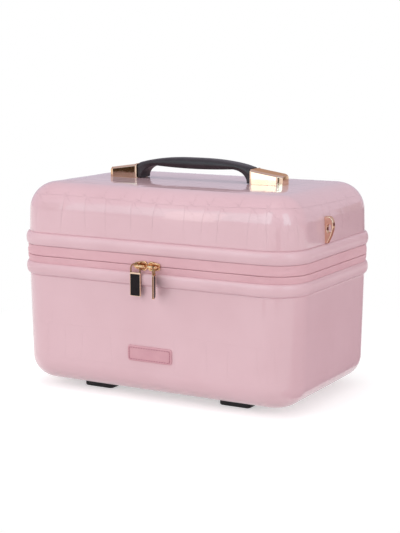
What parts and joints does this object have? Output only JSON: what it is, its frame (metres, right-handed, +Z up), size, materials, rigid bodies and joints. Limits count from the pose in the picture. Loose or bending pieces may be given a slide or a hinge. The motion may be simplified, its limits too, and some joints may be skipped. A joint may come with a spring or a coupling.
{
  "type": "beauty case",
  "caption": "Pink hard-shell beauty case with a zipped hinged lid, lifting top handle, strap lugs and feet.",
  "frame": {"origin": "middle of the case's bounding box in X and Y, on the floor under the feet", "axes": "+X to the case's right seen from the front, -Y out of the front with the sliders, +Z up"},
  "size_m": [0.356, 0.235, 0.2557],
  "materials": {
    "shell": "satin gloss, embossed scale grain",
    "piping": "satin",
    "zip_tape": "coated weave",
    "zip_coil": "satin",
    "rim_band": "matte",
    "lining": "brushed",
    "hinge_web": "coated weave",
    "net": "mesh",
    "binding": "elastic rib",
    "foot": "matte",
    "steel": "zinc plated",
    "rose_gold": "polished plating",
    "grip": "soft satin",
    "inlay": "enamel"
  },
  "bodies": {
    "base": {"base_shell": "shell", "base_piping": "piping", "base_zip_tape": "zip_tape", "base_zip_coil": "zip_coil", "base_rim_band": "rim_band", "base_lining": "lining", "base_board": "lining", "hinge_web_lower": "hinge_web", "foot_front_left": "foot", "foot_front_right": "foot", "foot_rear_left": "foot", "foot_rear_right": "foot", "foot_screws": "steel", "front_plate": "piping", "front_plate_nuts": "steel"},
    "lid": {"lid_shell": "shell", "lid_piping": "piping", "lid_zip_tape": "zip_tape", "lid_zip_coil": "zip_coil", "lid_rim_band": "rim_band", "lid_lining": "lining", "pocket_net": "net", "pocket_binding": "binding", "hinge_web_upper": "hinge_web", "handle_cap_left": "rose_gold", "handle_cap_right": "rose_gold", "handle_backing_left": "steel", "handle_backing_right": "steel", "handle_screws": "steel", "handle_springs": "steel", "strap_lug_left": "rose_gold", "strap_lug_right": "rose_gold", "lug_backing_left": "steel", "lug_backing_right": "steel", "lug_screws": "steel"},
    "handle": {"handle_grip": "grip", "handle_core": "steel"},
    "left_slider": {"slider_left": "rose_gold"},
    "right_slider": {"slider_right": "rose_gold"},
    "left_pull": {"pull_left_shackle": "rose_gold", "pull_left_tag": "rose_gold", "pull_left_inlays": "inlay"},
    "right_pull": {"pull_right_shackle": "rose_gold", "pull_right_tag": "rose_gold", "pull_right_inlays": "inlay"}
  },
  "joints": [
    {"name": "lid_hinge", "type": "hinge", "parent": "base", "child": "lid", "pos_m": [0, 0.11651, 0.1501], "axis": [-1, 0, 0], "range_deg": [0, 100]},
    {"name": "handle_lift", "type": "slide", "parent": "lid", "child": "handle", "axis": [0, 0, 1], "range_m": [0, 0.006], "stiffness_N_per_m": 300, "springref_m": -0.01, "deforming": ["handle_springs"]},
    {"name": "left_slider_travel", "type": "slide", "parent": "base", "child": "left_slider", "axis": [-1, 0, 0], "range_m": [0, 0.118]},
    {"name": "right_slider_travel", "type": "slide", "parent": "base", "child": "right_slider", "axis": [1, 0, 0], "range_m": [0, 0.11]},
    {"name": "left_pull_swing", "type": "hinge", "parent": "left_slider", "child": "left_pull", "pos_m": [-0.0111, -0.10633, 0.1501], "axis": [0, 1, 0], "range_deg": [-20, 75]},
    {"name": "right_pull_swing", "type": "hinge", "parent": "right_slider", "child": "right_pull", "pos_m": [0.0136, -0.10923, 0.1501], "axis": [-1, 0, 0], "range_deg": [0, 100]}
  ]
}
